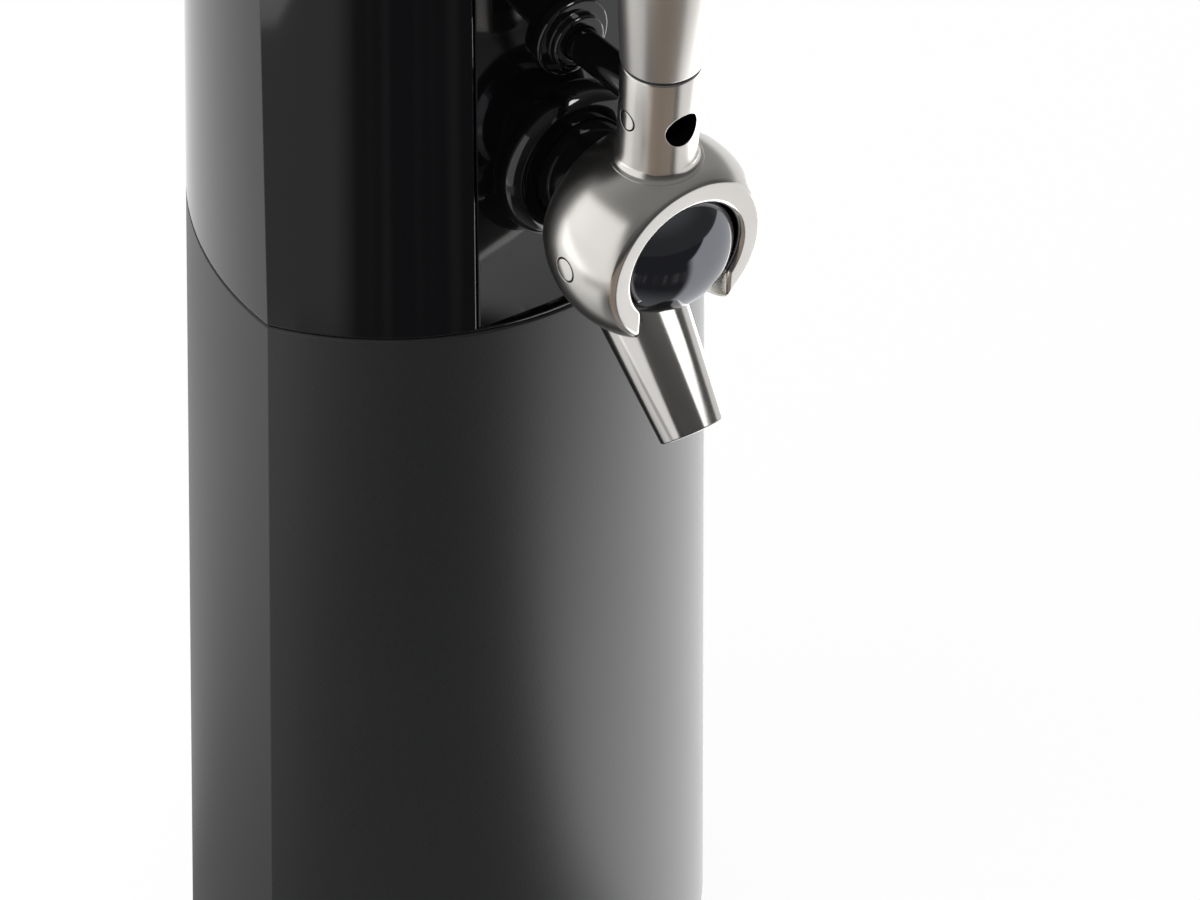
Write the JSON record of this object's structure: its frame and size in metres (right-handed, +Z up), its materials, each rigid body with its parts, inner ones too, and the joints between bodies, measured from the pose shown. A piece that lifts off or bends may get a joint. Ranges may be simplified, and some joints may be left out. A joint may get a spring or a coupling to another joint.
{
  "type": "portable beer foamer",
  "caption": "Tabletop beer tower with a can chamber, a lift-off head, and a lever tap whose handle pours beer one way and makes foam the other.",
  "frame": {"origin": "on the can chamber's axis, at the underside of the rubber pad that the tower stands on", "axes": "+Z up, -Y towards the tap, +X to the right of someone who looks along +Y"},
  "size_m": [0.15, 0.1961, 0.4515],
  "materials": {
    "charcoal_shell": "satin charcoal with a fine grain",
    "gloss_black_shell": "high gloss black",
    "gloss_black_tap": "gloss black, moulded",
    "valve_black": "polished black",
    "satin_steel": "fine satin stainless steel",
    "polished_steel": "polished stainless steel",
    "black_rubber": "matte black rubber",
    "pale_silicone": "soft milky silicone",
    "inner_plastic": "fine moulded black plastic",
    "white_plastic": "plain white plastic",
    "sleeve_aluminium": "satin anodised aluminium",
    "plated_steel": "bright plated steel",
    "brass_fittings": "turned brass",
    "board_green": "green solder mask",
    "cell_jacket": "plain printed steel jacket"
  },
  "bodies": {
    "base": {"lower_housing": "charcoal_shell", "base_plate": "inner_plastic", "base_pad": "black_rubber", "base_screws": "plated_steel", "chamber_sleeve": "sleeve_aluminium", "can_cushion": "black_rubber", "chamber_rim": "inner_plastic", "rim_screws": "plated_steel", "lock_keeper": "plated_steel"},
    "head": {"head_chassis": "inner_plastic", "chamber_seal": "pale_silicone", "head_shell": "gloss_black_shell", "tap_panel": "gloss_black_shell", "top_cover": "gloss_black_shell", "shell_screws": "plated_steel", "panel_screws": "plated_steel", "circuit_board": "board_green", "board_screws": "plated_steel", "battery_holder": "inner_plastic", "batteries": "cell_jacket", "battery_contacts": "plated_steel", "pump_housing": "white_plastic", "pump_motor": "plated_steel", "air_line": "pale_silicone", "line_nipple": "white_plastic", "dip_tube": "pale_silicone", "beer_line": "pale_silicone", "foam_transducer": "brass_fittings", "shank_nut": "brass_fittings", "shank_flange": "gloss_black_tap", "tap_shank": "gloss_black_tap", "valve_ball": "valve_black", "spout": "polished_steel", "spout_seal": "black_rubber", "rod_gland": "gloss_black_tap", "rod_barrel": "inner_plastic", "rod_sensor": "inner_plastic", "front_spring": "plated_steel", "rear_spring": "plated_steel"},
    "lever": {"lever_yoke": "satin_steel", "pivot_pins": "polished_steel", "link_pin": "polished_steel", "handle_ring": "black_rubber", "handle_stud": "plated_steel", "tap_handle": "satin_steel", "handle_cap": "satin_steel"},
    "rod": {"push_rod": "gloss_black_tap"},
    "lock": {"lock_slider": "inner_plastic"},
    "door": {"battery_door": "gloss_black_shell"},
    "pump_rotor": {"pump_crank": "brass_fittings"}
  },
  "joints": [
    {"name": "head_lift", "type": "slide", "parent": "base", "child": "head", "axis": [0, 0, 1], "range_m": [0, 0.26]},
    {"name": "tap_lever", "type": "hinge", "parent": "head", "child": "lever", "pos_m": [0, -0.10403, 0.305], "axis": [1, 0, 0], "range_deg": [-12, 12], "stiffness_Nm_per_rad": 4},
    {"name": "rod_slide", "type": "slide", "parent": "head", "child": "rod", "axis": [0, -1, 0], "range_m": [-0.0094, 0.0094], "deforming": ["front_spring", "rear_spring"]},
    {"name": "lock_slide", "type": "slide", "parent": "head", "child": "lock", "axis": [1, 0, 0], "range_m": [0, 0.007]},
    {"name": "door_pull", "type": "slide", "parent": "head", "child": "door", "axis": [0, 1, 0], "range_m": [0, 0.03]},
    {"name": "pump_spin", "type": "hinge", "parent": "head", "child": "pump_rotor", "pos_m": [0.026, 0, 0.27865], "axis": [0, 1, 0], "continuous": true}
  ],
  "couplings": [
    {"joint": "rod_slide", "follows": "tap_lever", "m_per_rad": 0.044392}
  ]
}
